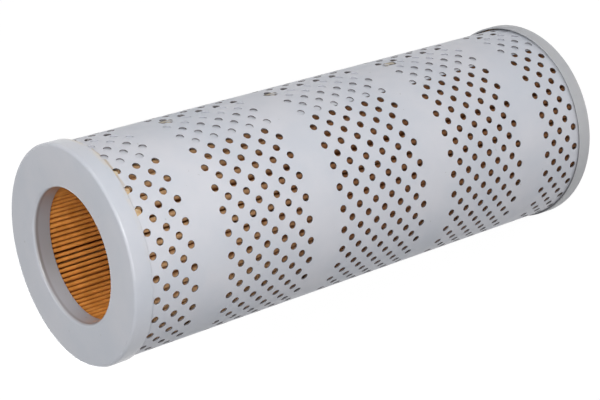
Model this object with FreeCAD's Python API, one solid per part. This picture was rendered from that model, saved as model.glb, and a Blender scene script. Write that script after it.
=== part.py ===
"""Hydraulic oil filter element: a perforated sheet-steel tube round a star of folded paper, closed by two
pressed end caps with an open bore. Millimetres, axis along +Z, standing on the rear cap."""
import FreeCAD
import Part
import math
import os

from FreeCAD import Vector

# Driving dimensions
overall_length = 310.0
tube_radius = 55.0
tube_sheet = 0.6
bore_radius = 34.5

# Perforated tube: a rolled sheet whose two long edges overlap and are spot-welded
lap_width = 27.0
lap_gap = 0.25
lap_edge_angle = -22.5
joggle_width = 7.0
joggle_clearance = 0.5
hole_diameter = 4.0
hole_rows = 18
first_row_from_edge = 3.0
columns_in_band = 5
column_pitch = 11.0
band_pitch = 73.8
hole_to_skirt = 2.0
weld_diameter = 4.0
weld_from_edge = 3.0

# Pressed end caps, both alike
cap_sheet = 1.0
skirt_gap = 0.5
skirt_length = 10.5
collar_depth = 9.5
corner_radius = 2.4
lip_radius = 1.6

# Folded paper
pleat_count = 88
paper_sheet = 0.6
paper_to_collar = 0.6
paper_to_tube = 0.4

# Adhesive that pots the tube and the paper into the caps
adhesive_depth = 3.0
front_seep = 1.4

# How finely the repeated and rounded forms are drawn
hole_sides = 6
flats_in_row = 4
bend_steps = 2

# Sizes that follow from the ones above
middle_height = 0.5 * overall_length
skirt_inner_radius = tube_radius + skirt_gap
cap_radius = skirt_inner_radius + cap_sheet
collar_outer_radius = bore_radius + cap_sheet
seat_height = cap_sheet + adhesive_depth
tube_length = overall_length - 2.0 * seat_height
main_inner_radius = tube_radius - tube_sheet
lap_outer_radius = main_inner_radius - lap_gap
lap_inner_radius = lap_outer_radius - tube_sheet
paper_inner_radius = collar_outer_radius + paper_to_collar
paper_outer_radius = lap_inner_radius - paper_to_tube

TOOL_MARGIN = 0.5
WELD_BITE = tube_sheet / 3.0


def polar(radius, degrees, z=0.0):
    """Point at a radius and an angle about the axis."""
    angle = math.radians(degrees)
    return Vector(radius * math.cos(angle), radius * math.sin(angle), z)


def tube_degrees(length):
    """Angle that a length takes on the tube's outside."""
    return math.degrees(length / tube_radius)


def raised(outlines):
    """Solid between the two rings of adhesive, from the outlines of its section."""
    closed = [Part.makePolygon(points + [points[0]]) for points in outlines]
    solid = Part.makeFace(closed, "Part::FaceMakerBullseye").extrude(Vector(0.0, 0.0, tube_length))
    solid.translate(Vector(0.0, 0.0, seat_height))
    return solid


def flat_angles(start, end):
    """Angles between which the sheet is drawn flat, so placed that each row of holes runs down one flat."""
    flat = 360.0 / (hole_rows * flats_in_row)
    first = end - tube_degrees(first_row_from_edge) + 0.5 * flat
    angles = [first - index * flat for index in range(hole_rows * flats_in_row)]
    inner = [angle for angle in reversed(angles) if start + 0.5 * flat < angle < end]
    return [start] + inner + [end]


def rolled_sheet():
    """The tube's sheet before it is perforated.

    Its section runs from the covered edge, which lies one sheet and the lap gap further in, over a joggle out
    to the tube's radius, and round to the outer edge that covers it. The round is drawn in flats."""
    covered_edge = lap_edge_angle - tube_degrees(lap_width)
    joggle_start = lap_edge_angle + tube_degrees(joggle_clearance)
    joggle_end = joggle_start + tube_degrees(joggle_width)
    covered = flat_angles(covered_edge, joggle_start)
    main = flat_angles(joggle_end, lap_edge_angle + 360.0)
    inside = [polar(lap_inner_radius, angle) for angle in covered]
    inside += [polar(main_inner_radius, angle) for angle in main]
    outside = [polar(lap_outer_radius, angle) for angle in covered]
    outside += [polar(tube_radius, angle) for angle in main]
    return raised([inside + outside[::-1]])


def radial_prism(radius, angle, z, start, end):
    """Prism along a radius of the tube, between two distances from the axis, with its corners on a circle."""
    outward = polar(1.0, angle)
    across = polar(1.0, angle + 90.0)
    corners = []
    for index in range(hole_sides):
        turn = 2.0 * math.pi * index / hole_sides
        corner = outward * start + across * (radius * math.cos(turn))
        corners.append(corner + Vector(0.0, 0.0, z + radius * math.sin(turn)))
    return Part.Face(Part.makePolygon(corners + [corners[0]])).extrude(outward * (end - start))


def hole_columns():
    """Heights of the columns of holes: bands about the middle, as far as they are clear of the skirts."""
    reach = middle_height - skirt_length - hole_to_skirt - 0.5 * hole_diameter
    side_bands = math.ceil(reach / band_pitch)
    offsets = []
    for band in range(-side_bands, side_bands + 1):
        for column in range(columns_in_band):
            offsets.append(band * band_pitch + (column - 0.5 * (columns_in_band - 1)) * column_pitch)
    return [middle_height + offset for offset in offsets if abs(offset) <= reach]


def hole_tools():
    """A staggered lattice of prisms. Over the lap they end in the gap, because the covered sheet is plain."""
    tools = []
    for column, height in enumerate(hole_columns()):
        for row in range(column % 2, hole_rows, 2):
            from_edge = tube_degrees(first_row_from_edge) + 360.0 * row / hole_rows
            over_lap = from_edge < tube_degrees(lap_width + hole_diameter)
            start = main_inner_radius - 0.5 * lap_gap if over_lap else lap_inner_radius - TOOL_MARGIN
            tools.append(radial_prism(0.5 * hole_diameter, lap_edge_angle - from_edge, height,
                                      start, tube_radius + TOOL_MARGIN))
    return tools


def weld_nuggets():
    """Spot welds that bridge the gap of the lap, close to its edge, in the plain strips between the bands."""
    angle = lap_edge_angle - tube_degrees(weld_from_edge)
    side_strips = int((middle_height - skirt_length) / band_pitch + 0.5)
    nuggets = []
    for strip in range(-side_strips, side_strips):
        height = middle_height + (strip + 0.5) * band_pitch
        nuggets.append(radial_prism(0.5 * weld_diameter, angle, height,
                                    lap_outer_radius - WELD_BITE, main_inner_radius + WELD_BITE))
    return nuggets


def outer_tube():
    return rolled_sheet().fuse(weld_nuggets()).cut(hole_tools())


def pleated_paper():
    """One strip of paper folded into a star.

    Each fold is creased flat, so it is two sheets wide: its outside is a short flat and its inside a sharp
    crease. The two outlines have three points a pleat."""
    inner_half = math.degrees(paper_sheet / paper_inner_radius)
    outer_half = math.degrees(paper_sheet / paper_outer_radius)
    pitch = 360.0 / pleat_count
    outside = []
    inside = []
    for pleat in range(pleat_count):
        inner_fold = pleat * pitch
        outer_fold = inner_fold + 0.5 * pitch
        outside.append(polar(paper_inner_radius + paper_sheet, inner_fold))
        outside.append(polar(paper_outer_radius, outer_fold - outer_half))
        outside.append(polar(paper_outer_radius, outer_fold + outer_half))
        inside.append(polar(paper_inner_radius, inner_fold - inner_half))
        inside.append(polar(paper_inner_radius, inner_fold + inner_half))
        inside.append(polar(paper_outer_radius - paper_sheet, outer_fold))
    return raised([outside, inside])


def revolved(profile):
    """Solid of revolution about the axis, from a closed outline of (radius, height) points."""
    corners = [Vector(radius, 0.0, height) for radius, height in profile]
    outline = Part.makePolygon(corners + [corners[0]])
    return Part.Face(outline).revolve(Vector(0, 0, 0), Vector(0, 0, 1), 360.0)


def bend(centre_radius, radius, start, end):
    """Points on a bend of the cap's sheet beside its face, between two angles in the plane of the section."""
    points = []
    for step in range(bend_steps + 1):
        angle = math.radians(start + (end - start) * step / bend_steps)
        points.append((centre_radius + radius * math.cos(angle), radius + radius * math.sin(angle)))
    return points


def end_cap():
    """Rear cap, with its face down on z = 0: skirt, rounded corner, flat face, rounded lip and collar."""
    outside = [(cap_radius, skirt_length)]
    outside += bend(cap_radius - corner_radius, corner_radius, 0.0, -90.0)
    outside += bend(bore_radius + lip_radius, lip_radius, -90.0, -180.0)
    outside.append((bore_radius, collar_depth))
    channel = [
        (collar_outer_radius, collar_depth),
        (collar_outer_radius, cap_sheet),
        (skirt_inner_radius, cap_sheet),
        (skirt_inner_radius, skirt_length),
    ]
    return revolved(outside + channel)


def rear_adhesive():
    """Ring of adhesive in the rear cap's channel, on which the tube and the paper stand."""
    return revolved([
        (collar_outer_radius, cap_sheet),
        (skirt_inner_radius, cap_sheet),
        (skirt_inner_radius, seat_height),
        (collar_outer_radius, seat_height),
    ])


def front_adhesive():
    """The same ring for the front cap, with the adhesive that was pressed up round the tube and seeped out.

    It is drawn at the rear end, like the cap, and turned over with it."""
    return revolved([
        (collar_outer_radius, cap_sheet),
        (skirt_inner_radius, cap_sheet),
        (skirt_inner_radius, skirt_length),
        (tube_radius, skirt_length + front_seep),
        (tube_radius, seat_height),
        (collar_outer_radius, seat_height),
    ])


def turned_over(shape):
    """The same shape at the front end of the element."""
    flipped = shape.copy()
    flipped.rotate(Vector(0.0, 0.0, middle_height), Vector(1.0, 0.0, 0.0), 180.0)
    return flipped


def main():
    rear_end_cap = end_cap()
    nodes = {
        "outer_tube": outer_tube(),
        "pleated_paper": pleated_paper(),
        "front_end_cap": turned_over(rear_end_cap),
        "rear_end_cap": rear_end_cap,
        "front_adhesive": turned_over(front_adhesive()),
        "rear_adhesive": rear_adhesive(),
    }
    os.makedirs("parts", exist_ok=True)
    for name, shape in nodes.items():
        print(name, len(shape.Solids), "solid,", round(shape.Volume), "mm3, valid", shape.isValid())
        shape.Solids[0].exportStep(os.path.join("parts", name + ".step"))


main()
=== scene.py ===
"""Hydraulic oil filter element standing on its rear cap: a perforated, lapped and spot-welded steel tube
round a star of folded paper, with a pressed steel cap glued on each end. Shapes are in millimetres, turned
to metres when a mesh is made. Axis along +Z, rear cap on the floor, open front cap on top."""
import math

import bpy
import numpy as np
from mathutils import Matrix


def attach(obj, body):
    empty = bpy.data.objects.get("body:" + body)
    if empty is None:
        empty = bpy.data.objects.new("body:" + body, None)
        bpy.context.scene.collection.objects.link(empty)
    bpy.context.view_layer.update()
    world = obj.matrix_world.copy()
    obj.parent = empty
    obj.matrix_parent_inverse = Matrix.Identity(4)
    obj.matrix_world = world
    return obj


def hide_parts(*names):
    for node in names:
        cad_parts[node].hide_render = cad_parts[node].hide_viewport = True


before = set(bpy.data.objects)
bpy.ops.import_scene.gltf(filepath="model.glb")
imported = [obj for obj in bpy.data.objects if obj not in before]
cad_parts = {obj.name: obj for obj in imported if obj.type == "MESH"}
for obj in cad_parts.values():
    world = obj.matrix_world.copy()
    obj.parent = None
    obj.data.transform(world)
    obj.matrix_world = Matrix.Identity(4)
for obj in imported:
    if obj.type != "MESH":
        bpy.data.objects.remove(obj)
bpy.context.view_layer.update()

MM = 0.001

# Sizes of the element
overall_length = 310.0
tube_radius = 55.0
sheet = 0.6
bore_radius = 34.5
cap_sheet = 1.0
cap_radius = 56.5
collar_depth = 9.5
front_corner = 1.6
rear_corner = 2.6
lip_radius = 1.6
trimmed_edge_radius = 0.3
seat_height = 4.0

# How each cap is seated: height of its skirt's edge above its face, how far that edge wanders on the side at
# wander_angle, how far its face lies below the full length, how much the face leans along +Y and is dished
# towards the bore, and how far both caps sit off the tube's axis towards +X
front_skirt = 10.15
front_wander = 0.30
front_sunk = 0.80
front_lean = 0.003
front_dish = 0.25
rear_skirt = 9.75
rear_wander = -0.55
wander_angle = -35.0
cap_off_axis = 0.35

# How far the free edge of a skirt is pinched in and ripples. Both grow between these two radii
skirt_pinch = 0.06
skirt_ripple = 0.08
face_end_radius = 50.0
full_skirt_radius = 55.0

# Perforation: holes stand on every second crossing of columns (along the axis) and rows (round the tube)
column_step = 5.4475
middle_column = 18.0
middle_column_height = 154.17
rows_per_turn = 61
row_zero_angle = -55.095
angle_per_column = -0.0368
bowed_row = 8.0
bow_height = 0.25
bow_rows = 3.5
hole_radius = 2.0
hole_corners = 16
hole_bands = ((-8, -4), (0, 9), (13, 23), (27, 36), (40, 44))
first_column = -9
last_column = 45
first_row = -5
last_row = 55

# The sheet's far edge, tucked under the near one. The gap between the two opens and closes between two rows.
# The edge is askew: it lies at its row in one column and moves by the skew with each further column
closed_gap = 0.05
open_gap = 0.34
first_open_row = 56.0
last_open_row = 60.4
joggle_start_row = 54.2
joggle_end_row = 55.4
last_border_row = 59.5
tucked_edge_row = 60.36
tucked_edge_skew = -0.017
tucked_edge_column = 4.5

# Adhesive that seeped out of the front cap: how far it reaches past the skirt's edge all round, how much
# further on the side where it ran, how much both vary, and that side's angle and spread in degrees
seep_reach = 0.14
seep_variation = 0.06
ran_reach = 1.05
ran_variation = 0.40
ran_ripple = 0.22
ran_angle = -46.0
ran_spread = 26.0
least_reach = 0.08
most_reach = 4.0

# Holes that it ran into, as row and reach, and how wide such a fill is, in rows
seep_fills = ((0.0, 2.7), (2.0, 2.9), (4.0, 3.6))
fill_rows = 0.30

# Height of the bead on the tube, what it gains for each millimetre of reach, and the most it has
bead_height = 0.10
bead_gain = 0.08
most_bead_height = 0.22

# Section of the bead past the skirt's edge, as shares of its height and of its reach. Before the edge it
# leaves the skirt and meets the tube at these distances
bead_section = ((1.0, 0.35), (0.7, 0.75))
leaves_skirt = 0.3
meets_tube = 0.5

# Rear ring of adhesive: radii at its four corners, from the collar's foot round, and how uneven its face is
rear_ring_radii = (0.3, 0.3, 0.2, 0.2)
rear_ring_dips = 0.12

# The adhesive keeps this clear of the cap and of the tube, so that no two faces lie in one place
clear_of_cap = 0.03
clear_of_tube = 0.01

# Folded paper: the radii of its bends, how far a tip may fall short, and how far a tip strays sideways, as a
# share of the pitch between folds
pleat_count = 88
paper_sheet = 0.6
paper_inner_radius = 36.1
paper_outer_radius = 52.4
inner_bend_radius = 0.66
outer_bend_radius = 1.05
inner_shortfall = 0.7
outer_shortfall = 0.5
inner_stray = 0.035
outer_stray = 0.05

# How folds sway along the axis: size, waves along the axis, waves round it and start of each wave that
# neighbours share, and the size and waves of the one that each fold has for itself
shared_sways = ((0.30, 1.0, 3.0, 0.4), (0.22, 2.0, -5.0, 1.9))
own_sway = 0.07
own_waves = 3.0

# Camera of the photograph, in the element's frame, metres
camera_place = (-0.00047, -0.74809, 0.69736)
camera_right = (-0.29341, -0.55337, -0.77954)
camera_up = (0.95596, -0.16406, -0.24335)
camera_back = (0.00678, -0.81661, 0.57715)
focal_pixels = 1720.07
picture_width = 600.0
sensor_width = 36.0


# Mesh helpers

def grid_quads(rows, columns, close_rows=False, close_columns=False, start=0):
    """Quads between the points of a grid, numbered row by row. A closed direction joins last to first."""
    row = np.arange(rows if close_rows else rows - 1)
    column = np.arange(columns if close_columns else columns - 1)
    row, column = np.meshgrid(row, column, indexing="ij")
    next_row = (row + 1) % rows
    next_column = (column + 1) % columns
    corners = [
        row * columns + column,
        row * columns + next_column,
        next_row * columns + next_column,
        next_row * columns + column,
    ]
    return start + np.stack(corners, -1).reshape(-1, 4)


def signed_volume(points, faces):
    """Volume that the faces enclose, positive where they point outwards: a sixth of the sum of the triple
    products of each triangle's corners."""
    total = 0.0
    for part in faces:
        a = points[part[:, 0]]
        for k in range(1, part.shape[1] - 1):
            b = points[part[:, k]]
            c = points[part[:, k + 1]]
            total += float(np.einsum("ij,ij->i", a, np.cross(b, c)).sum()) / 6.0
    return total


def add_piece(name, points, faces, materials, slot_name, sharp_degrees=40.0, finishes=None):
    """Makes one closed piece from an array of points in millimetres and a list of face arrays, gives it its
    materials and puts it on the frame in place of the node that its slot is named after. finishes gives the
    number of each face array's material. Faces that enclose a negative volume are turned round first."""
    if signed_volume(points, faces) < 0.0:
        faces = [part[:, ::-1] for part in faces]
    corners = np.concatenate([part.ravel() for part in faces]).astype(np.int32)
    sizes = np.concatenate([np.full(len(part), part.shape[1]) for part in faces]).astype(np.int32)
    mesh = bpy.data.meshes.new(name)
    mesh.vertices.add(len(points))
    mesh.vertices.foreach_set("co", (points * MM).astype(np.float32).ravel())
    mesh.loops.add(len(corners))
    mesh.loops.foreach_set("vertex_index", corners)
    mesh.polygons.add(len(sizes))
    mesh.polygons.foreach_set("loop_start", (np.cumsum(sizes) - sizes).astype(np.int32))
    for material in materials:
        mesh.materials.append(material)
    if finishes:
        finish_of_face = np.concatenate([np.full(len(part), n) for part, n in zip(faces, finishes)])
        mesh.polygons.foreach_set("material_index", finish_of_face.astype(np.int32))
    mesh.update(calc_edges=True)
    mesh.shade_smooth()
    mesh.set_sharp_from_angle(angle=math.radians(sharp_degrees))
    piece = bpy.data.objects.new(name, mesh)
    bpy.context.scene.collection.objects.link(piece)
    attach(piece, "root")
    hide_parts(slot_name)
    return piece


def rounded_outline(corners, radii, steps=6):
    """Closed outline through corners (radius, height), each replaced by an arc of its radius that touches
    both sides: the arc's centre lies on the corner's bisector, at radius / sin(half the corner's angle)."""
    corners = np.array(corners, float)
    before = np.roll(corners, 1, axis=0) - corners
    after = np.roll(corners, -1, axis=0) - corners
    before /= np.linalg.norm(before, axis=1, keepdims=True)
    after /= np.linalg.norm(after, axis=1, keepdims=True)
    half = 0.5 * np.arccos(np.clip((before * after).sum(1), -1.0, 1.0))
    radii = np.array(radii, float)
    bisector = before + after
    bisector /= np.linalg.norm(bisector, axis=1, keepdims=True)
    centre = corners + bisector * (radii / np.sin(half))[:, None]
    start = corners + before * (radii / np.tan(half))[:, None] - centre
    end = corners + after * (radii / np.tan(half))[:, None] - centre
    share = np.linspace(0.0, 1.0, steps + 1)[None, :, None]
    turn = (np.pi - 2.0 * half)[:, None, None]
    arc = np.sin((1.0 - share) * turn) * start[:, None] + np.sin(share * turn) * end[:, None]
    return (centre[:, None] + arc / np.sin(turn)).reshape(-1, 2)


def carried_round(outline, turns):
    """Closed outline carried round the axis: at angle a its point is (radius cos a, radius sin a, height).
    The outline may be one array of (radius, height) or one for each angle."""
    outline = np.asarray(outline, float)
    if outline.ndim == 2:
        outline = np.repeat(outline[None], turns, axis=0)
    angle = np.linspace(0.0, 2.0 * np.pi, turns, endpoint=False)[:, None]
    points = np.stack(
        [outline[..., 0] * np.cos(angle), outline[..., 0] * np.sin(angle), outline[..., 1]], -1
    )
    quads = grid_quads(turns, outline.shape[1], close_rows=True, close_columns=True)
    return points.reshape(-1, 3), quads


def smooth_waves(angle, seed, lowest, highest):
    """Even random waves round the axis, between about -1 and 1: a sum of cosines of whole numbers of turns,
    each with its own strength and start, divided by twice its spread."""
    chance = np.random.default_rng(seed)
    turns = np.arange(lowest, highest + 1)
    strength = chance.normal(size=len(turns))
    start = chance.uniform(0.0, 2.0 * np.pi, len(turns))
    wave = (strength * np.cos(np.asarray(angle)[..., None] * turns + start)).sum(-1)
    return wave / (2.0 * np.sqrt(0.5 * (strength ** 2).sum()))


# Perforated tube

def tube_outside(row):
    """Outer radius of the sheet at a row: the tube's radius, then a smooth step down, t * t * (3 - 2 t) over
    the joggle, where the sheet tucks under its other edge. The step is one sheet and a gap, which opens and
    closes again as a squared sine between the welded edge and the tucked one."""
    share = np.clip((row - joggle_start_row) / (joggle_end_row - joggle_start_row), 0.0, 1.0)
    along = np.clip((row - first_open_row) / (last_open_row - first_open_row), 0.0, 1.0)
    drop = sheet + closed_gap + open_gap * np.sin(np.pi * along) ** 2
    return tube_radius - drop * share * share * (3.0 - 2.0 * share)


def tube_point(column, row, depth):
    """Place on the rolled sheet: height falls by one step a column, angle falls by one turn in 61 rows and
    turns slowly with the column, because the sheet is rolled a little askew, and the radius is the outside
    less the depth into the sheet. The rows near the bowed one were punched a quarter of a millimetre higher,
    as a bell curve over the rows."""
    askew = angle_per_column * (column - middle_column)
    angle = np.radians(row_zero_angle - row * 360.0 / rows_per_turn + askew)
    radius = tube_outside(row) - depth
    bow = bow_height * np.exp(-(((row - bowed_row) / bow_rows) ** 2))
    height = middle_column_height + (middle_column - column) * column_step + bow
    return np.stack([radius * np.cos(angle), radius * np.sin(angle), height], -1)


def hole_places():
    """Columns and rows of every hole: inside a band, where column and row add up to an even number."""
    column, row = np.meshgrid(
        np.arange(first_column, last_column + 1), np.arange(first_row, last_row + 1), indexing="ij"
    )
    in_band = np.zeros(column.shape, bool)
    for low, high in hole_bands:
        in_band |= (column >= low) & (column <= high)
    keep = in_band & ((column + row) % 2 == 0)
    return column[keep], row[keep]


def tube_mesh():
    """Both faces of the rolled sheet on one grid of columns and row borders. A hole takes the cell from one
    column before it to one after, whose six border points are joined to a ring of sixteen; every other cell
    is a quad. Walls join the two faces at the holes and along the four edges."""
    top_column = middle_column - (overall_length - seat_height - middle_column_height) / column_step
    low_column = middle_column + (middle_column_height - seat_height) / column_step
    inner_columns = np.arange(first_column, last_column + 1, dtype=float)
    columns = np.concatenate([[top_column], inner_columns, [low_column]])
    borders = np.arange(first_row - 0.5, last_border_row + 0.5)
    tucked_edge = tucked_edge_row + tucked_edge_skew * (columns - tucked_edge_column)
    column_grid, row_grid = np.meshgrid(columns, np.append(borders, 0.0), indexing="ij")
    row_grid[:, -1] = tucked_edge
    across = row_grid.shape[1]
    hole_column, hole_row = hole_places()
    corner = np.arange(hole_corners)
    turn = 2.0 * np.pi * corner / hole_corners
    row_length = 2.0 * np.pi * tube_radius / rows_per_turn
    ring_column = hole_column[:, None] + hole_radius * np.cos(turn) / column_step
    ring_row = hole_row[:, None] + hole_radius * np.sin(turn) / row_length

    # Numbers of the points: grid then rings, outer face then inner face
    grid_count = row_grid.size
    face_count = grid_count + ring_column.size
    points = np.concatenate(
        [
            tube_point(column_grid, row_grid, 0.0).reshape(-1, 3),
            tube_point(ring_column, ring_row, 0.0).reshape(-1, 3),
            tube_point(column_grid, row_grid, sheet).reshape(-1, 3),
            tube_point(ring_column, ring_row, sheet).reshape(-1, 3),
        ]
    )
    numbers = np.arange(grid_count).reshape(row_grid.shape)
    ring = grid_count + np.arange(ring_column.size).reshape(-1, hole_corners)

    # Cells that a hole takes
    taken = np.zeros((len(columns) - 1, across - 1), bool)
    place = hole_column - first_column + 1
    border = hole_row - first_row
    taken[place - 1, border] = True
    taken[place, border] = True
    quads = grid_quads(len(columns), across).reshape(len(columns) - 1, across - 1, 4)[~taken]

    # Six border points of each hole's cell, in the ring's sense of turning, and the one that is nearest to
    # each side of the ring
    rim_column = np.array([1, 1, 0, -1, -1, 0])
    rim_border = np.array([0, 1, 1, 1, 0, 0])
    rim = numbers[place[:, None] + rim_column, border[:, None] + rim_border]
    rim_turn = np.arctan2((rim_border - 0.5) * row_length, rim_column * column_step)
    side_turn = turn + np.pi / hole_corners
    away = np.abs((side_turn[:, None] - rim_turn + np.pi) % (2.0 * np.pi) - np.pi)
    nearest = away.argmin(1)
    following = np.roll(nearest, -1)
    next_corner = (corner + 1) % hole_corners
    fans = np.stack([ring[:, corner], rim[:, nearest], ring[:, next_corner]], -1).reshape(-1, 3)
    changes = nearest != following
    fills = np.stack(
        [ring[:, next_corner[changes]], rim[:, nearest[changes]], rim[:, following[changes]]], -1
    ).reshape(-1, 3)
    outer_triangles = np.concatenate([fans, fills])

    # The grid's quads turn towards the axis, the fans away from it
    outer_quads = quads[:, ::-1]
    inner_quads = quads + face_count
    inner_triangles = outer_triangles[:, ::-1] + face_count
    hole_walls = np.stack(
        [
            ring[:, corner],
            ring[:, next_corner],
            ring[:, next_corner] + face_count,
            ring[:, corner] + face_count,
        ],
        -1,
    ).reshape(-1, 4)
    edge = np.concatenate([numbers[:-1, 0], numbers[-1, :-1], numbers[:0:-1, -1], numbers[0, :0:-1]])
    following_edge = np.roll(edge, -1)
    edge_walls = np.stack([following_edge, edge, edge + face_count, following_edge + face_count], -1)
    return points, [outer_quads, inner_quads, outer_triangles, inner_triangles, hole_walls, edge_walls]


# Folded paper

def paper_mesh(levels=21):
    """A strip folded to and fro. Its middle line is an arc at each inner tip, a straight flank, an arc at
    each outer tip and a flank back, as (radius, sideways) turned to an angle by sideways over radius. The two
    faces are that line moved by half the sheet's thickness along its normal. Folds differ a little in width,
    depth and place, and sway along the axis in slow sine waves that fade out at both ends."""
    chance = np.random.default_rng(11)
    half = 0.5 * paper_sheet
    pitch = 2.0 * np.pi / pleat_count
    fold = np.arange(pleat_count)
    inner_bend = inner_bend_radius * chance.uniform(0.85, 1.15, pleat_count)
    outer_bend = outer_bend_radius * chance.uniform(0.88, 1.10, pleat_count)
    inner_depth = chance.uniform(0.0, inner_shortfall, pleat_count)
    outer_depth = chance.uniform(0.0, outer_shortfall, pleat_count)
    inner_place = fold * pitch + chance.normal(0.0, inner_stray, pleat_count) * pitch
    outer_place = (fold + 0.5) * pitch + chance.normal(0.0, outer_stray, pleat_count) * pitch

    bend = np.radians([-90.0, -45.0, 0.0, 45.0, 90.0])
    inner_centre = (paper_inner_radius + half + inner_bend + inner_depth)[:, None]
    inner_arc_radius = inner_centre - inner_bend[:, None] * np.cos(bend)
    inner_arc_angle = inner_place[:, None] + inner_bend[:, None] * np.sin(bend) / inner_arc_radius
    outer_centre = (paper_outer_radius - half - outer_bend - outer_depth)[:, None]
    outer_arc_radius = outer_centre + outer_bend[:, None] * np.cos(bend)
    outer_arc_angle = outer_place[:, None] + outer_bend[:, None] * np.sin(bend) / outer_arc_radius

    share = np.array([0.25, 0.5, 0.75])
    up_radius = inner_arc_radius[:, -1:] * (1 - share) + outer_arc_radius[:, :1] * share
    up_angle = inner_arc_angle[:, -1:] * (1 - share) + outer_arc_angle[:, :1] * share
    next_radius = np.roll(inner_arc_radius[:, :1], -1, axis=0)
    next_angle = np.roll(inner_arc_angle[:, :1], -1, axis=0)
    next_angle[-1] += 2.0 * np.pi
    down_radius = outer_arc_radius[:, -1:] * (1 - share) + next_radius * share
    down_angle = outer_arc_angle[:, -1:] * (1 - share) + next_angle * share
    radius = np.concatenate([inner_arc_radius, up_radius, outer_arc_radius, down_radius], 1).ravel()
    angle = np.concatenate([inner_arc_angle, up_angle, outer_arc_angle, down_angle], 1).ravel()

    low = seat_height
    high = overall_length - seat_height
    height = np.linspace(low, high, levels)[:, None]
    along = 2.0 * np.pi * (height - low) / (high - low)
    free = np.sin(0.5 * along)
    sway = 0.0
    for size, waves_along, waves_round, start in shared_sways:
        sway = sway + size * np.sin(waves_along * along + waves_round * angle + start)
    own_start = np.repeat(chance.uniform(0.0, 2.0 * np.pi, pleat_count), radius.size // pleat_count)
    sway = sway + own_sway * np.sin(own_waves * along + own_start)
    swayed = angle + free * sway / radius

    x = radius * np.cos(swayed)
    y = radius * np.sin(swayed)
    run_x = np.roll(x, -1, axis=1) - np.roll(x, 1, axis=1)
    run_y = np.roll(y, -1, axis=1) - np.roll(y, 1, axis=1)
    length = np.hypot(run_x, run_y)
    normal_x = run_y / length
    normal_y = -run_x / length
    level = np.broadcast_to(height, x.shape)
    face_one = np.stack([x + half * normal_x, y + half * normal_y, level], -1)
    face_two = np.stack([x - half * normal_x, y - half * normal_y, level], -1)
    count = x.shape[1]
    points = np.concatenate([face_one.reshape(-1, 3), face_two.reshape(-1, 3)])
    outer = grid_quads(levels, count, close_columns=True)
    inner = grid_quads(levels, count, close_columns=True, start=levels * count)[:, ::-1]
    first = np.arange(count)
    following = (first + 1) % count
    lower = np.stack([following, first, first + levels * count, following + levels * count], -1)
    top = (levels - 1) * count
    upper = np.stack([first, following, following + levels * count, first + levels * count], -1) + top
    return points, [outer, inner, lower, upper]


# Pressed caps

def cap_radii(corner):
    """Radii at the eight corners of the cap's outline, with the given one outside between face and skirt."""
    edge = trimmed_edge_radius
    return edge, corner, lip_radius, edge, edge, lip_radius - cap_sheet, corner - cap_sheet, edge


def cap_corners(skirt):
    """Corners of the cap's section, face down on nought, as (radius, height)."""
    return (
        (cap_radius, skirt),
        (cap_radius, 0.0),
        (bore_radius, 0.0),
        (bore_radius, collar_depth),
        (bore_radius + cap_sheet, collar_depth),
        (bore_radius + cap_sheet, cap_sheet),
        (cap_radius - cap_sheet, cap_sheet),
        (cap_radius - cap_sheet, skirt),
    )


def skirt_wander(angle, wander):
    """How much further the skirt reaches at an angle: wander times the cosine of the angle from its side."""
    return wander * np.cos(angle - np.radians(wander_angle))


def face_sink(angle, radius):
    """How far below the full length the front face lies: sunk, leaning along +Y, and dished in proportion to
    the way from the corner to the bore."""
    face_width = cap_radius - front_corner - bore_radius
    dished = np.clip((cap_radius - front_corner - radius) / face_width, 0.0, 1.0)
    return front_sunk - front_lean * radius * np.sin(angle) + front_dish * dished


def cap_mesh(on_top, skirt, corner, wander, seed, turns=320):
    """The cap's outline carried round the axis. Besides its wander, the skirt's free edge is pinched in and
    ripples by about a tenth of a millimetre, as a drawn and trimmed pressing's does, growing with the square
    of the height above the face. The whole is moved off the tube's axis."""
    outline = rounded_outline(cap_corners(skirt), cap_radii(corner))
    angle = np.linspace(0.0, 2.0 * np.pi, turns, endpoint=False)[:, None]
    shape = np.repeat(outline[None], turns, axis=0)
    on_skirt = np.clip((outline[:, 0] - face_end_radius) / (full_skirt_radius - face_end_radius), 0.0, 1.0)
    lift = (outline[:, 1] / skirt) ** 2 * on_skirt
    pinches = smooth_waves(angle[:, 0], seed, 2, 6)[:, None]
    ripples = smooth_waves(angle[:, 0], seed + 1, 2, 9)[:, None]
    shape[..., 0] -= skirt_pinch * lift * (1.0 + pinches)
    shape[..., 1] += lift * (skirt_wander(angle, wander) - skirt_ripple * ripples)
    if on_top:
        shape[..., 1] += face_sink(angle, shape[..., 0])
    points, quads = carried_round(shape, turns)
    points[:, 0] += cap_off_axis
    if on_top:
        points[:, 2] = overall_length - points[:, 2]
    return points, [quads]


# Adhesive

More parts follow.
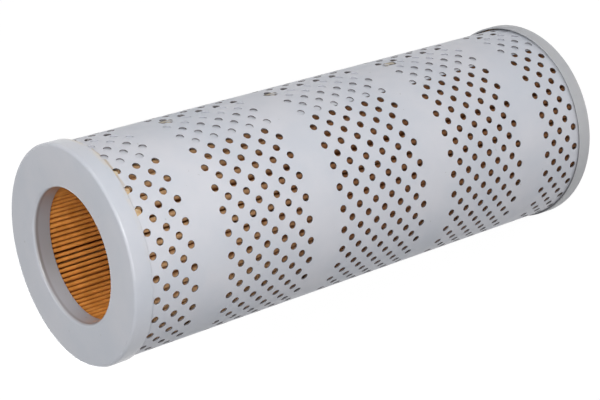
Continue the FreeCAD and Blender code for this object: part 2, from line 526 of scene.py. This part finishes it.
def front_adhesive_mesh(turns=960):
    """The ring that fills the channel of the front cap and climbs between tube and skirt, where it ends in a
    thin bead on the tube. The bead's reach follows random waves round the axis and grows as a bell curve
    over the angle on the side where the adhesive ran. At a few holes near the edge it ran on into the hole,
    as a flat-topped bell, exp(-t^4), over the rows."""
    angle = np.linspace(0.0, 2.0 * np.pi, turns, endpoint=False)
    turned = (np.degrees(angle) + 180.0) % 360.0 - 180.0
    ran = np.exp(-(((turned - ran_angle) / ran_spread) ** 2))
    row = (row_zero_angle - turned) / (360.0 / rows_per_turn)
    wave = smooth_waves(angle, 5, 5, 34)
    ripple = smooth_waves(angle, 8, 40, 110)
    reach = seep_reach + seep_variation * wave
    reach += ran * (ran_reach + ran_variation * wave + ran_ripple * ripple)
    for filled_row, filled_to in seep_fills:
        reach = np.maximum(reach, filled_to * np.exp(-(((row - filled_row) / fill_rows) ** 4)))
    reach = np.clip(reach, least_reach, most_reach)
    swell = np.clip(bead_height + bead_gain * reach, 0.0, most_bead_height)
    off = cap_off_axis * np.cos(angle)
    skirt_in = cap_radius - cap_sheet - clear_of_cap + off
    collar = bore_radius + cap_sheet + clear_of_cap + off
    outer_roof = face_sink(angle, cap_radius) + cap_sheet + clear_of_cap
    inner_roof = face_sink(angle, bore_radius) + cap_sheet + clear_of_cap
    edge = face_sink(angle, cap_radius) + front_skirt + skirt_wander(angle, front_wander)
    seat = np.full(turns, seat_height)
    on_tube = np.full(turns, tube_radius + clear_of_tube)
    bead_end = np.full(turns, tube_radius + clear_of_cap)

    # Along the cap's roof from the collar, down inside the skirt, out over its edge, along the bead to the
    # tube, and back between tube and skirt
    outline = [
        (collar, inner_roof),
        (skirt_in, outer_roof),
        (skirt_in, edge - leaves_skirt),
        (np.minimum(tube_radius + 0.35 + 0.6 * swell, skirt_in), edge + 0.05),
        *((tube_radius + up * swell, edge + out * reach) for up, out in bead_section),
        (bead_end, edge + reach),
        (on_tube, edge - meets_tube),
        (on_tube, seat),
        (collar, seat),
    ]
    shape = np.stack([np.stack(pair, -1) for pair in outline], 1)
    points, quads = carried_round(shape, turns)
    points[:, 2] = overall_length - points[:, 2]
    return points, [quads]


def rear_adhesive_mesh(turns=240):
    """The plain ring of adhesive in the rear cap's channel: a rounded rectangle carried round the axis, its
    free face lowered unevenly by random waves, up to a quarter of a millimetre."""
    angle = np.linspace(0.0, 2.0 * np.pi, turns, endpoint=False)
    collar = bore_radius + cap_sheet + clear_of_cap
    skirt_in = cap_radius - cap_sheet - clear_of_cap
    bed = cap_sheet + clear_of_cap
    corners = ((collar, bed), (skirt_in, bed), (skirt_in, seat_height), (collar, seat_height))
    outline = rounded_outline(corners, rear_ring_radii, steps=3)
    shape = np.repeat(outline[None], turns, axis=0)
    free = np.clip(outline[:, 1] - cap_sheet, 0.0, None) / (seat_height - cap_sheet)
    shape[..., 1] -= rear_ring_dips * free * (1.0 + smooth_waves(angle, 21, 3, 12)[:, None])
    points, quads = carried_round(shape, turns)
    points[:, 0] += cap_off_axis
    return points, [quads]


# Materials

def linear(written):
    """Linear colour of a written sRGB one, such as "#C9CCD3"."""
    value = np.array([int(written[k:k + 2], 16) for k in (1, 3, 5)]) / 255.0
    value = np.where(value <= 0.04045, value / 12.92, ((value + 0.055) / 1.055) ** 2.4)
    return (*value.tolist(), 1.0)


def add_node(tree, kind, sockets, result=0, **settings):
    """Adds a node, sets its settings, links or sets its sockets by name or number, and gives the output asked
    for. An output node, which has none, gives itself."""
    node = tree.nodes.new("ShaderNode" + kind)
    for name, value in settings.items():
        setattr(node, name, value)
    for key, value in sockets.items():
        if isinstance(value, bpy.types.NodeSocket):
            tree.links.new(value, node.inputs[key])
        else:
            node.inputs[key].default_value = value
    return node.outputs[result] if node.outputs else node


def new_material(name):
    """An empty material with its tree and its Object coordinates."""
    material = bpy.data.materials.new(name)
    material.use_nodes = True
    tree = material.node_tree
    tree.nodes.clear()
    return material, tree, add_node(tree, "TexCoord", {}, "Object")


def per_metre(millimetres):
    """Noise scale whose patches are about that wide on Object coordinates in metres."""
    return 1000.0 / millimetres


# Settings of the nodes that ease a value from one range (sockets 1 and 2) to another (3 and 4, or nought to
# one), and of those that mix two colours (sockets 6 and 7) by a share (0), with the number of their output
ease = {"interpolation_type": "SMOOTHSTEP"}
mix = {"data_type": "RGBA"}
mixed = 2

# Spot welds by the sheet's near edge, in pairs that run together, as column and row of their middles
weld_places = ((0.60, -5.34), (0.96, -5.27), (12.60, -5.42), (12.98, -5.35), (27.50, -5.18), (27.84, -5.14))
weld_radius = 2.4
weld_raggedness = 1.4

# Where marks on the coat begin and are full, in millimetres along +X, the upper side as the camera sees it:
# the painted shade and warm painted reflection of the paper in the collar, the adhesive wiped on the skirt,
# its film on the tube, and the corner by the joggle that the coat filled, which has such a range at either
# end
bore_shade_side = (-26.0, 12.0)
wiped_side = (-20.0, 24.0)
film_side = (12.0, 36.0)
filled_from = (44.8, 46.6)
filled_to = (51.2, 50.4)

# The same from a skirt's edge, along the axis: wiped adhesive, film, and the painted shade of the rear
# skirt's
# gap, and outwards from the tube: the skirt's own sheet, and the inner half of its sheared edge, where it
# lies
wiped_height = (2.6, 0.2)
film_height = (-1.9, -1.0)
film_raggedness = 2.6
gap_shade_height = (-2.0, -1.0)
skirt_sheet_reach = (1.0, 1.4)
inner_half_reach = (1.15, 0.80)

# The line of painted shade at the end of the lip's bend: how far past the bend it lies, and its half width
bend_line_past = 0.3
bend_line_width = (1.2, 0.2)

# Paper: how far outside the inner tips the painted shade in the folds' valleys grows, how far inside the
# outer ones they turn to the tips' colour, and heights where it turns from pale painted light to brown
# painted shade
valley_shade_reach = (0.3, 2.4)
tip_reach = (-3.9, -1.2)
tip_heights = (285.0, 170.0)


def distance_from_axis(tree, place):
    """Distance of a point from the element's axis, in metres."""
    flat = add_node(tree, "Mapping", {"Vector": place, "Scale": (1.0, 1.0, 0.0)})
    return add_node(tree, "VectorMath", {0: flat}, "Value", operation="LENGTH")


def painted_shade_in_bore(tree, place, colour, face_height, inwards):
    """Painted shade and a warm painted reflection of the paper on the collar: a grey-brown mixed over the
    coat, most on the upper side as the camera sees it, towards +X, and a darker line of painted shade where
    the lip's bend ends. The collar runs inwards from its face's height, up or down the axis."""
    reach = distance_from_axis(tree, place)
    sideways = add_node(tree, "SeparateXYZ", {"Vector": place}, "X")
    height = add_node(tree, "SeparateXYZ", {"Vector": place}, "Z")
    lip_start = (bore_radius + 0.55 * lip_radius) * MM
    bend_end = face_height + inwards * (lip_radius + bend_line_past)
    inside = add_node(tree, "MapRange", {0: reach, 1: lip_start, 2: bore_radius * MM}, **ease)
    begins, full = (side * MM for side in bore_shade_side)
    # Painted shade and the paper's warm painted reflection, more of it towards +X
    shade_by_side = add_node(tree, "MapRange", {0: sideways, 1: begins, 2: full, 3: 0.34, 4: 0.72}, **ease)
    # A line of painted shade where the lip's bend ends
    from_bend = add_node(tree, "Math", {0: height, 1: bend_end * MM}, operation="SUBTRACT")
    from_bend = add_node(tree, "Math", {0: from_bend}, operation="ABSOLUTE")
    fades, full = (width * MM for width in bend_line_width)
    line = add_node(tree, "MapRange", {0: from_bend, 1: fades, 2: full, 3: 0.0, 4: 0.24}, **ease)
    share = add_node(tree, "Math", {0: shade_by_side, 1: line}, operation="ADD")
    share = add_node(tree, "Math", {0: share, 1: inside}, operation="MULTIPLY")
    return add_node(tree, "Mix", {0: share, 6: colour, 7: linear("#8A8280")}, mixed, **mix)


def adhesive_wiped_on_skirt(tree, place, colour):
    """Thin cream smears of wiped adhesive beside the skirt's edge, on the side where it ran out."""
    edge = overall_length - front_sunk - front_skirt
    reach = distance_from_axis(tree, place)
    height = add_node(tree, "SeparateXYZ", {"Vector": place}, "Z")
    sideways = add_node(tree, "SeparateXYZ", {"Vector": place}, "X")
    patches = add_node(
        tree, "TexNoise", {"Vector": place, "Scale": per_metre(11.0), "Detail": 4.0, "Roughness": 0.6}
    )
    fades, full = ((edge + past) * MM for past in wiped_height)
    near_edge = add_node(tree, "MapRange", {0: height, 1: fades, 2: full}, **ease)
    begins, full = ((tube_radius + out) * MM for out in skirt_sheet_reach)
    on_skirt = add_node(tree, "MapRange", {0: reach, 1: begins, 2: full}, **ease)
    begins, full = (side * MM for side in wiped_side)
    ran_side = add_node(tree, "MapRange", {0: sideways, 1: begins, 2: full}, **ease)
    share = add_node(tree, "MapRange", {0: patches, 1: 0.36, 2: 0.60, 3: 0.0, 4: 0.55}, **ease)
    for part in (near_edge, on_skirt, ran_side):
        share = add_node(tree, "Math", {0: share, 1: part}, operation="MULTIPLY")
    return add_node(tree, "Mix", {0: share, 6: colour, 7: linear("#DDD2C0")}, mixed, **mix)


def painted_gap_shade_at_skirt_edge(tree, place, colour):
    """Painted shade on the inner half of the rear skirt's sheared edge: dark grey, which gives the gap beside
    it a firm dark line."""
    reach = distance_from_axis(tree, place)
    height = add_node(tree, "SeparateXYZ", {"Vector": place}, "Z")
    fades, full = ((tube_radius + out) * MM for out in inner_half_reach)
    inner_half = add_node(tree, "MapRange", {0: reach, 1: fades, 2: full}, **ease)
    begins, full = ((rear_skirt + past) * MM for past in gap_shade_height)
    # Painted shade of the gap between skirt and tube, on the edge's inner half
    at_edge = add_node(tree, "MapRange", {0: height, 1: begins, 2: full, 3: 0.0, 4: 0.8}, **ease)
    share = add_node(tree, "Math", {0: inner_half, 1: at_edge}, operation="MULTIPLY")
    return add_node(tree, "Mix", {0: share, 6: colour, 7: linear("#5C5C60")}, mixed, **mix)


def film_behind_skirt(tree, place, colour):
    """A thin, greyish film of adhesive on the tube close behind the skirt's edge, where most of it ran."""
    edge = overall_length - front_sunk - front_skirt
    height = add_node(tree, "SeparateXYZ", {"Vector": place}, "Z")
    sideways = add_node(tree, "SeparateXYZ", {"Vector": place}, "X")
    waves = add_node(tree, "TexNoise", {"Vector": place, "Scale": per_metre(7.0), "Detail": 3.0})
    ragged = add_node(
        tree, "Math", {0: waves, 1: film_raggedness * MM, 2: height}, operation="MULTIPLY_ADD"
    )
    begins, full = ((edge + past) * MM for past in film_height)
    near_edge = add_node(tree, "MapRange", {0: ragged, 1: begins, 2: full}, **ease)
    begins, full = (side * MM for side in film_side)
    ran_side = add_node(tree, "MapRange", {0: sideways, 1: begins, 2: full, 3: 0.0, 4: 0.85}, **ease)
    share = add_node(tree, "Math", {0: near_edge, 1: ran_side}, operation="MULTIPLY")
    return add_node(tree, "Mix", {0: share, 6: colour, 7: linear("#C6B8A6")}, mixed, **mix)


def burnt_at_welds(tree, place, colour):
    """Round each spot weld the coat is burnt off in a brown ring round a pale, slightly sunk core. Their
    outlines are ragged by noise, whose mean is half its size. Gives the new colour and the core's share."""
    mean = 0.5 * weld_raggedness
    ring_end = (1.30 * weld_radius + mean) * MM
    ring_start = (1.05 * weld_radius + mean) * MM
    core_end = (0.86 * weld_radius + mean) * MM
    core_start = (0.55 * weld_radius + mean) * MM
    near = None
    for column, row in weld_places:
        spot = tube_point(np.array(column), np.array(row), 0.0) * MM
        away = add_node(tree, "VectorMath", {0: place, 1: spot.tolist()}, "Value", operation="DISTANCE")
        near = away if near is None else add_node(tree, "Math", {0: near, 1: away}, operation="MINIMUM")
    crust = add_node(tree, "TexNoise", {"Vector": place, "Scale": per_metre(1.7), "Detail": 3.0})
    ragged = add_node(
        tree, "Math", {0: crust, 1: weld_raggedness * MM, 2: near}, operation="MULTIPLY_ADD"
    )
    burnt = add_node(tree, "MapRange", {0: ragged, 1: ring_end, 2: ring_start, 3: 0.0, 4: 0.92}, **ease)
    core = add_node(tree, "MapRange", {0: ragged, 1: core_end, 2: core_start}, **ease)
    pale = add_node(tree, "Math", {0: core, 1: 0.88}, operation="MULTIPLY")
    colour = add_node(tree, "Mix", {0: burnt, 6: colour, 7: linear("#4A3B2F")}, mixed, **mix)
    return add_node(tree, "Mix", {0: pale, 6: colour, 7: linear("#C4B9A4")}, mixed, **mix), core


def satin_grey_lacquer(
    name, lighter, darker, smoother, rougher, gloss, welds=False, bore=None, smears=False, gap_shade_edge=False
):
    """Stove-dried grey lacquer on cold-rolled sheet: satin, smooth, with the faint unevenness of a dipped
    coat. The eye gets a soft highlight, slow mottling, a fine orange-peel and small specks of dirt. On the
    tube come the marks of its welds, and on a cap the painted shade in its bore, given as
    painted_shade_in_bore takes it, wiped adhesive, and painted shade of the gap at the rear skirt's edge."""
    material, tree, place = new_material(name)
    slow = add_node(tree, "TexNoise", {"Vector": place, "Scale": per_metre(42.0), "Detail": 2.0})
    medium = add_node(tree, "TexNoise", {"Vector": place, "Scale": per_metre(9.0), "Detail": 3.0})
    fine = add_node(tree, "TexNoise", {"Vector": place, "Scale": per_metre(1.1), "Detail": 2.0})
    dirt = add_node(tree, "TexNoise", {"Vector": place, "Scale": per_metre(2.6), "Detail": 1.0})
    mottling = add_node(tree, "Math", {0: medium, 1: 0.35, 2: slow}, operation="MULTIPLY_ADD")
    share = add_node(tree, "MapRange", {0: mottling, 1: 0.42, 2: 0.95}, **ease)
    colour = add_node(tree, "Mix", {0: share, 6: linear(lighter), 7: linear(darker)}, mixed, **mix)
    specks = add_node(tree, "MapRange", {0: dirt, 1: 0.76, 2: 0.82, 3: 0.0, 4: 0.30}, **ease)
    colour = add_node(tree, "Mix", {0: specks, 6: colour, 7: linear("#9C9A97")}, mixed, **mix)
    height = add_node(tree, "Math", {0: slow, 1: 2.5, 2: fine}, operation="MULTIPLY_ADD")
    if bore:
        colour = painted_shade_in_bore(tree, place, colour, *bore)
    if smears:
        colour = adhesive_wiped_on_skirt(tree, place, colour)
    if gap_shade_edge:
        colour = painted_gap_shade_at_skirt_edge(tree, place, colour)
    if welds:
        colour = film_behind_skirt(tree, place, colour)
        colour, core = burnt_at_welds(tree, place, colour)
        height = add_node(tree, "Math", {0: core, 1: -4.0, 2: height}, operation="MULTIPLY_ADD")
    roughness = add_node(tree, "MapRange", {0: medium, 1: 0.3, 2: 0.7, 3: smoother, 4: rougher}, **ease)
    normal = add_node(tree, "Bump", {"Strength": 0.25, "Distance": 0.06 * MM, "Height": height})
    shader = add_node(
        tree,
        "BsdfPrincipled",
        {
            "Base Color": colour,
            "Roughness": roughness,
            "IOR": 1.5,
            "Specular IOR Level": gloss,
            "Normal": normal,
        },
    )
    add_node(tree, "OutputMaterial", {"Surface": shader})
    return material


def steel_and_hole_shade():
    """Mild steel sheet, sheared and punched after rolling, with a thin mist of the coat in the holes: grey,
    dull and a little oily, and kept darker than the coat, so that on the holes' walls it is also painted
    shade. The eye gets a soft dark rim at every hole, not a bright metal one, and a paler one in the two rows
    where the lapped sheets touch and the coat filled the corner."""
    material, tree, place = new_material("Sheared mild steel, thinly coated")
    film = add_node(tree, "TexNoise", {"Vector": place, "Scale": per_metre(1.8), "Detail": 3.0})
    sideways = add_node(tree, "SeparateXYZ", {"Vector": place}, "X")
    share = add_node(tree, "MapRange", {0: film, 1: 0.35, 2: 0.65}, **ease)
    # A grey darker than the coat, which on the holes' walls is painted shade
    colour = add_node(tree, "Mix", {0: share, 6: linear("#8F8E92"), 7: linear("#777374")}, mixed, **mix)
    begins, full = (side * MM for side in filled_from)
    past_open_rows = add_node(tree, "MapRange", {0: sideways, 1: begins, 2: full}, **ease)
    fades, full = (side * MM for side in filled_to)
    before_joggle = add_node(tree, "MapRange", {0: sideways, 1: fades, 2: full}, **ease)
    filled = add_node(tree, "Math", {0: past_open_rows, 1: before_joggle}, operation="MULTIPLY")
    colour = add_node(tree, "Mix", {0: filled, 6: colour, 7: linear("#CFD1D8")}, mixed, **mix)
    shader = add_node(tree, "BsdfPrincipled", {"Base Color": colour, "Metallic": 0.1, "Roughness": 0.6})
    add_node(tree, "OutputMaterial", {"Surface": shader})
    return material


def resin_filter_paper():
    """Cellulose filter paper soaked in phenolic resin and cured: amber to brown, matt, with a slight sheen
    from the resin. The eye gets fibres, clouds of thicker pulp, painted shade in the valleys between the
    folds, and outer tips drawn pale at the front end as painted light and browner towards the rear as painted
    shade.
    Real fibres are hundredths of a millimetre wide, so they are drawn as strands of 0.9 mm that the picture
    can show."""
    material, tree, place = new_material("Resin-soaked cellulose filter paper")
    clouds = add_node(
        tree, "TexNoise", {"Vector": place, "Scale": per_metre(7.0), "Detail": 4.0, "Roughness": 0.6}
    )
    along = add_node(tree, "Mapping", {"Vector": place, "Scale": (1.0, 1.0, 0.22)})
    fibres = add_node(
        tree, "TexNoise", {"Vector": along, "Scale": per_metre(0.9), "Detail": 4.0, "Roughness": 0.65}
    )
    share = add_node(tree, "MapRange", {0: clouds, 1: 0.35, 2: 0.65}, **ease)
    colour = add_node(tree, "Mix", {0: share, 6: linear("#EEA04C"), 7: linear("#D88C3C")}, mixed, **mix)
    share = add_node(tree, "MapRange", {0: fibres, 1: 0.45, 2: 0.75, 3: 0.0, 4: 0.45}, **ease)
    colour = add_node(tree, "Mix", {0: share, 6: colour, 7: linear("#E6AA5E")}, mixed, **mix)
    reach = distance_from_axis(tree, place)
    begins, full = ((paper_inner_radius + out) * MM for out in valley_shade_reach)
    # Painted shade in the valleys between the folds, beyond the inner tips
    share = add_node(tree, "MapRange", {0: reach, 1: begins, 2: full, 3: 0.0, 4: 0.62}, **ease)
    colour = add_node(tree, "Mix", {0: share, 6: colour, 7: linear("#8C4410")}, mixed, **mix)
    height = add_node(tree, "SeparateXYZ", {"Vector": place}, "Z")
    # Colour of the outer tips: pale at the front as painted light, browner towards the rear as painted shade
    front, rear = (at * MM for at in tip_heights)
    rearward = add_node(tree, "MapRange", {0: height, 1: front, 2: rear}, **ease)
    tips = add_node(tree, "Mix", {0: rearward, 6: linear("#E6BA8C"), 7: linear("#A07250")}, mixed, **mix)
    begins, full = ((paper_outer_radius + out) * MM for out in tip_reach)
    share = add_node(tree, "MapRange", {0: reach, 1: begins, 2: full, 3: 0.0, 4: 0.85}, **ease)
    colour = add_node(tree, "Mix", {0: share, 6: colour, 7: tips}, mixed, **mix)
    relief = add_node(tree, "Math", {0: fibres, 1: 0.5, 2: clouds}, operation="MULTIPLY_ADD")
    normal = add_node(tree, "Bump", {"Strength": 0.35, "Distance": 0.1 * MM, "Height": relief})
    shader = add_node(
        tree, "BsdfPrincipled", {"Base Color": colour, "Roughness": 0.62, "IOR": 1.45, "Normal": normal}
    )
    add_node(tree, "OutputMaterial", {"Surface": shader})
    return material


def tan_epoxy(name):
    """Two-part epoxy, poured and cured: tan, slightly cloudy, glossy where it skinned over. The eye gets a
    soft wet shine, small dips and paler streaks of filler."""
    material, tree, place = new_material(name)
    streaks = add_node(tree, "TexNoise", {"Vector": place, "Scale": per_metre(3.0), "Detail": 4.0})
    dips = add_node(tree, "TexNoise", {"Vector": place, "Scale": per_metre(1.2), "Detail": 2.0})
    share = add_node(tree, "MapRange", {0: streaks, 1: 0.35, 2: 0.65}, **ease)
    colour = add_node(tree, "Mix", {0: share, 6: linear("#DEC8A8"), 7: linear("#C89C6C")}, mixed, **mix)
    normal = add_node(tree, "Bump", {"Strength": 0.5, "Distance": 0.15 * MM, "Height": dips})
    shader = add_node(
        tree,
        "BsdfPrincipled",
        {
            "Base Color": colour,
            "Roughness": 0.35,
            "IOR": 1.53,
            "Subsurface Weight": 0.15,
            "Subsurface Scale": 1.0 * MM,
            "Normal": normal,
        },
    )
    add_node(tree, "OutputMaterial", {"Surface": shader})
    return material


def seen_directly(tree):
    """One where a ray comes from the camera, a reflection or through glass, and nought for soft light."""
    camera_ray = add_node(tree, "LightPath", {}, "Is Camera Ray")
    glossy_ray = add_node(tree, "LightPath", {}, "Is Glossy Ray")
    glass_ray = add_node(tree, "LightPath", {}, "Is Transmission Ray")
    seen = add_node(tree, "Math", {0: camera_ray, 1: glossy_ray}, operation="MAXIMUM")
    return add_node(tree, "Math", {0: seen, 1: glass_ray}, operation="MAXIMUM")


def white_floor():
    """Matt white board. Seen directly it is nine tenths plain white, a little over one, so that with a tenth
    of its real shading it comes to white and the element's shadow stays."""
    plain_share = 0.90
    plain_strength = 1.07
    material, tree, _ = new_material("Matt white studio board")
    board = add_node(tree, "BsdfDiffuse", {"Color": linear("#F2F2F2")})
    plain = add_node(tree, "Emission", {"Color": linear("#FFFFFF"), "Strength": plain_strength})
    share = add_node(tree, "Math", {0: seen_directly(tree), 1: plain_share}, operation="MULTIPLY")
    both = add_node(tree, "MixShader", {0: share, 1: board, 2: plain})
    add_node(tree, "OutputMaterial", {"Surface": both})
    return material


# Pieces

lacquer_tube = satin_grey_lacquer(
    "Satin grey lacquer on perforated steel",
    lighter="#D9DAE1", darker="#CFD3DC", smoother=0.38, rougher=0.48, gloss=0.18,
    welds=True,
)
lacquer_front = satin_grey_lacquer(
    "Satin grey lacquer on the front pressing",
    lighter="#D3D5DD", darker="#C9CED8", smoother=0.21, rougher=0.26, gloss=0.50,
    bore=(overall_length - front_sunk - front_dish, -1.0), smears=True,
)
# The rear pressing has the caps' grey lacquer drawn darker, as painted shade
lacquer_rear_shaded = satin_grey_lacquer(
    "Satin grey lacquer on the rear pressing",
    lighter="#C3C4C7", darker="#BABCC0", smoother=0.36, rougher=0.44, gloss=0.25,
    bore=(0.0, 1.0), gap_shade_edge=True,
)

# The tube's outer face and edges have the lacquer, its inner face and hole walls a thin mist, darkened as
# painted shade
points, faces = tube_mesh()
tube_coats = (lacquer_tube, steel_and_hole_shade())
coats = (0, 1, 0, 1, 1, 0)
add_piece("perforated_tube", points, faces, tube_coats, "outer_tube", sharp_degrees=35.0, finishes=coats)
points, faces = paper_mesh()
add_piece("folded_paper", points, faces, (resin_filter_paper(),), "pleated_paper", sharp_degrees=60.0)
points, faces = cap_mesh(on_top=True, skirt=front_skirt, corner=front_corner, wander=front_wander, seed=31)
add_piece("front_cap_pressing", points, faces, (lacquer_front,), "front_end_cap")
points, faces = cap_mesh(on_top=False, skirt=rear_skirt, corner=rear_corner, wander=rear_wander, seed=41)
add_piece("rear_cap_pressing", points, faces, (lacquer_rear_shaded,), "rear_end_cap")
points, faces = front_adhesive_mesh()
add_piece("front_adhesive_seep", points, faces, (tan_epoxy("Tan epoxy, front"),), "front_adhesive")
points, faces = rear_adhesive_mesh()
add_piece("rear_adhesive_ring", points, faces, (tan_epoxy("Tan epoxy, rear"),), "rear_adhesive")


# Floor, light and camera

world_level = 0.10
nearly_upright = 0.95

# Lamps: name, place, aim, size, power and colour
lamps = (
    ("key_lamp", (0.22, -0.80, 0.76), (0.0, 0.0, 0.25), 0.35, 2.8, "#FFFDF9"),
    ("front_lamp", (0.10, -1.10, 1.10), (0.0, 0.0, 0.25), 0.4, 5.0, "#FFFFFF"),
    ("low_lamp", (-0.45, -1.00, 0.75), (0.0, 0.0, 0.22), 0.35, 2.05, "#FFFFFF"),
    ("side_lamp", (0.95, -0.45, 0.55), (0.0, 0.0, 0.20), 0.6, 1.85, "#FDFEFF"),
    ("rear_lamp", (-0.20, 0.92, 0.16), (0.0, 0.0, 0.16), 0.5, 3.0, "#FFFFFF"),
    ("top_lamp", (0.35, 0.10, 1.45), (0.0, 0.0, 0.25), 0.4, 1.8, "#FFFFFF"),
)


def add_floor():
    """A flat square board at the height on which the element stands, with its corners three metres out."""
    out = 3.0
    corners = [(-out, -out, 0.0), (out, -out, 0.0), (out, out, 0.0), (-out, out, 0.0)]
    mesh = bpy.data.meshes.new("studio_floor")
    mesh.from_pydata(corners, [], [(0, 1, 2, 3)])
    mesh.materials.append(white_floor())
    floor = bpy.data.objects.new("studio_floor", mesh)
    bpy.context.scene.collection.objects.link(floor)


def add_lamp(name, place, aim, size, power, colour):
    """A soft square lamp at a place, turned so that its -Z points at its aim."""
    data = bpy.data.lights.new(name, "AREA")
    data.shape = "SQUARE"
    data.size = size
    data.energy = power
    data.color = linear(colour)[:3]
    lamp = bpy.data.objects.new(name, data)
    back = np.array(place) - np.array(aim)
    back /= np.linalg.norm(back)
    side = np.cross((0.0, 1.0, 0.0) if abs(back[2]) > nearly_upright else (0.0, 0.0, 1.0), back)
    side /= np.linalg.norm(side)
    up = np.cross(back, side)
    axes = np.eye(4)
    axes[:3, 0] = side
    axes[:3, 1] = up
    axes[:3, 2] = back
    axes[:3, 3] = place
    lamp.matrix_world = Matrix(axes.tolist())
    lamp.visible_camera = False
    bpy.context.scene.collection.objects.link(lamp)


def add_world(level):
    """Soft grey-white surroundings that light the element at a plain level and look plain white."""
    world = bpy.data.worlds.new("studio")
    world.use_nodes = True
    tree = world.node_tree
    tree.nodes.clear()
    soft = add_node(tree, "Background", {"Color": linear("#FBFBFF"), "Strength": level})
    plain = add_node(tree, "Background", {"Color": linear("#FFFFFF"), "Strength": 1.0})
    both = add_node(tree, "MixShader", {0: seen_directly(tree), 1: soft, 2: plain})
    add_node(tree, "OutputWorld", {"Surface": both})
    bpy.context.scene.world = world


def add_camera():
    """The photograph's camera: its three axes and place, and a lens from the focal length in pixels."""
    data = bpy.data.cameras.new("photo_camera")
    data.sensor_fit = "HORIZONTAL"
    data.sensor_width = sensor_width
    data.lens = sensor_width * focal_pixels / picture_width
    data.clip_start = 0.01
    camera = bpy.data.objects.new("photo_camera", data)
    axes = np.eye(4)
    axes[:3, 0] = camera_right
    axes[:3, 1] = camera_up
    axes[:3, 2] = camera_back
    axes[:3, 3] = camera_place
    camera.matrix_world = Matrix(axes.tolist())
    bpy.context.scene.collection.objects.link(camera)
    bpy.context.scene.camera = camera


add_floor()
add_world(world_level)
for lamp in lamps:
    add_lamp(*lamp)
add_camera()
bpy.context.scene.view_settings.view_transform = "Standard"
